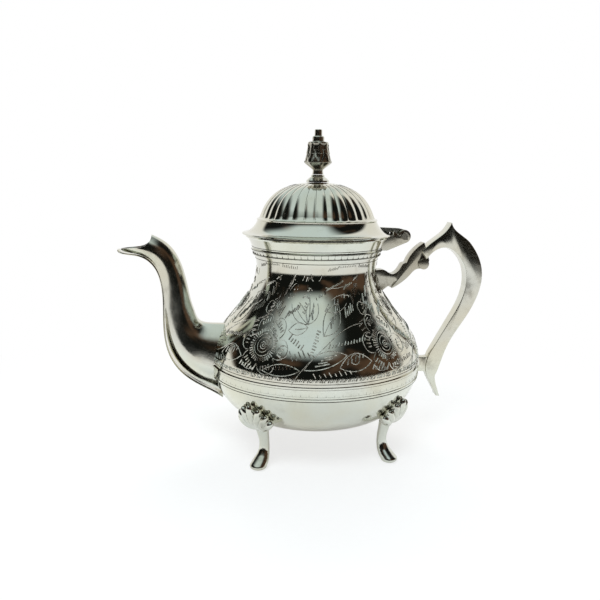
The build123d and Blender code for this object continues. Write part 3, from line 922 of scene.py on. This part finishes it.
def camera():
    """The photo's camera, with the aim set off the picture's middle by lens shift."""
    angles = (CAMERA_ELEVATION, CAMERA_TURN, CAMERA_ROLL)
    tilt, turn, roll = (math.radians(angle) for angle in angles)
    level = math.cos(tilt)
    back = Vector((math.sin(turn) * level, -math.cos(turn) * level, math.sin(tilt)))
    right = Vector((math.cos(turn), math.sin(turn), 0))
    up = back.cross(right)
    rolled_up = up * math.cos(roll) - right * math.sin(roll)
    rolled_right = right * math.cos(roll) + up * math.sin(roll)
    data = bpy.data.cameras.new("photo_camera")
    data.sensor_width = SENSOR_WIDTH
    data.lens = SENSOR_WIDTH * FOCAL_PIXELS / PHOTO_SIZE
    data.shift_x = -(AIM_PIXEL[0] - PHOTO_SIZE / 2) / PHOTO_SIZE
    data.shift_y = (AIM_PIXEL[1] - PHOTO_SIZE / 2) / PHOTO_SIZE
    data.clip_start = NEAREST_SEEN
    obj = add_object("photo_camera", data)
    place = Vector((AXIS_X, 0, AIM_Z)) + back * CAMERA_DISTANCE
    axes = Matrix((rolled_right, rolled_up, back)).transposed().to_4x4()
    obj.matrix_world = Matrix.Translation(place) @ axes
    bpy.context.scene.camera = obj


FLOOR_RADIUS = 0.65
LAMP_AIM_Z = 0.08


def floor():
    deselect()
    bpy.ops.mesh.primitive_circle_add(
        vertices=96, radius=FLOOR_RADIUS, fill_type="NGON", location=(0, 0, 0)
    )
    sheet = bpy.context.object
    sheet.name = "paper_floor"
    dress(sheet, floor_finish())


def lamp(name, place, size, watts, colour):
    """A soft box turned to the pot, which the metal doesn't mirror."""
    data = bpy.data.lights.new(name, "AREA")
    data.shape = "RECTANGLE"
    data.size, data.size_y = size
    data.energy = watts
    data.color = colour
    obj = add_object(name, data)
    obj.location = place
    towards = Vector((AXIS_X, 0, LAMP_AIM_Z)) - Vector(place)
    obj.rotation_euler = towards.to_track_quat("-Z", "Y").to_euler()
    obj.visible_glossy = False


# The room round the floor, by direction from the pot: where each part starts and ends,
# against a heading in degrees, sideways as the camera sees it, or upwards
ROOM_FRONT = -96.0
TABLE_EDGE = (-0.17, -0.11)
WALL_EDGE = (-0.34, -0.14)
CORNER_SIDE = (-0.45, 0.05)
CORNER_LEAN = 0.75
CEILING_RISE = (0.49, 0.78)
CEILING_SIDE = (0.28, 0.64)
CEILING_OFFSET = 0.15
BLOTCH_SCALE = 1.6
BLOTCH_EDGE = (0.48, 0.66)
BACKDROP = (1.0, 1.0, 0.985, 1.0)
WALL_BLACK = (0.008, 0.009, 0.008, 1.0)
WALL_BROWN = (0.10, 0.060, 0.038, 1.0)
CEILING = (0.74, 0.86, 0.88, 1.0)

# The two soft boxes
WINDOW_PLACE = (-0.28, -0.62, 0.95)
WINDOW_SIZE = (0.55, 0.45)
WINDOW_WATTS = 9.0
WINDOW_LIGHT = (0.88, 0.96, 1.0)
BACK_PLACE = (0.15, 1.0, 1.3)
BACK_SIZE = (0.9, 0.5)
BACK_WATTS = 10.0
BACK_LIGHT = (1.0, 0.99, 0.95)


def studio():
    """White behind the pot, a dark wall before it, a pale ceiling strip and two lamps."""
    world = bpy.data.worlds.new("studio")
    bpy.context.scene.world = world
    world.use_nodes = True
    room = Nodes(world.node_tree)
    way = room.node("ShaderNodeTexCoord", out="Generated")
    x, y, up = (room.node("ShaderNodeSeparateXYZ", None, {0: way}, out=axis) for axis in "XYZ")
    ahead, turn = math.radians(ROOM_FRONT), math.radians(CAMERA_TURN)
    front = x * math.cos(ahead) + y * math.sin(ahead)
    side = x * math.cos(turn) + y * math.sin(turn) + CEILING_OFFSET
    sockets = {"Vector": way, "Scale": BLOTCH_SCALE, "Detail": 3.0}
    blotch = room.node("ShaderNodeTexNoise", None, sockets)
    wall = room.mix(room.band(blotch, *BLOTCH_EDGE), WALL_BLACK, WALL_BROWN)
    corner = up * (1 - room.band(side, *CORNER_SIDE)) * CORNER_LEAN
    dark = room.band(front + corner, *WALL_EDGE) * room.band(up, *TABLE_EDGE)
    strip = room.band(up, *CEILING_RISE) * (1 - room.band(abs(side), *CEILING_SIDE))
    colour = room.mix(dark, BACKDROP, wall)
    colour = room.mix(strip, colour, CEILING)
    colour = room.mix(room.light_path("Is Camera Ray"), colour, WHITE)
    room.put(room.tree.nodes["Background"].inputs["Color"], colour)
    lamp("window_softbox", WINDOW_PLACE, WINDOW_SIZE, WINDOW_WATTS, WINDOW_LIGHT)
    lamp("back_softbox", BACK_PLACE, BACK_SIZE, BACK_WATTS, BACK_LIGHT)


sheet_plate = plated("silver_sheet", tarnish=0.25, rough=0.07)
bowl_plate = plated("silver_bowl", tarnish=0.15, rough=0.10)
cast_plate = plated("silver_casting", tarnish=0.3, rough=0.13)
# The feet and the dark castings darken in their hollows: tarnish, with painted shade
foot_plate = plated("silver_foot", tarnish=0.35, rough=0.12, hollow_tarnish_and_shade=0.85)
dark_plate = plated("dark_casting", tarnish=0.5, rough=0.2, hollow_tarnish_and_shade=0.9, shade=0.4)
cuts = cut_line()
grooves = ring_groove()

PLAIN_FINISHES = {
    "body_upper": sheet_plate,
    "body_lower": bowl_plate,
    "rim_wire": bowl_plate,
    "neck_band": bowl_plate,
    "belly_band": bowl_plate,
    "spout_half_left": cast_plate,
    "spout_half_right": cast_plate,
    "lid_bezel": sheet_plate,
    "hinge_tongue": cast_plate,
    "hinge_pin": dark_plate,
    "finial_foot": cast_plate,
    "finial_washer": plain_brass(),
    "finial_nut": plain_brass(),
}
for node, material in PLAIN_FINISHES.items():
    dress(nodes[node], material)

fluted_lid(sheet_plate)
carved_finial(dark_plate)
cast_feet(foot_plate)
eased_copy("handle_grip", "pot", cast_plate, 1.3 * MM)
eased_copy("handle_upper_bracket", "pot", dark_plate, 0.8 * MM)
eased_copy("handle_lower_bracket", "pot", cast_plate, 0.8 * MM)
eased_copy("hinge_bracket", "pot", dark_plate, 0.35 * MM, segments=2)
cut_strokes("shell_engraving", wrapped(sector_lines()), LINE_RADIUS, cuts)
cut_strokes("shell_hatching", wrapped(sector_hatch()), HATCH_RADIUS, cuts)
cut_strokes("neck_hatching", wrapped(patches(NECK_PATCHES)), NECK_CUT_RADIUS, grooves)
cut_strokes("flute_lines", flute_grooves(), FLUTE_LINE_RADIUS, grooves, "lid")
cut_strokes("turned_lines", [turned_ring(z) for z in RING_HEIGHTS], RING_RADIUS, grooves)
ticks = band_ticks(*BELLY_TICKS) + band_ticks(*NECK_TICKS)
cut_strokes("milled_ticks", ticks, TICK_RADIUS, grooves)

camera()
floor()
studio()
bpy.context.scene.view_settings.view_transform = "Standard"
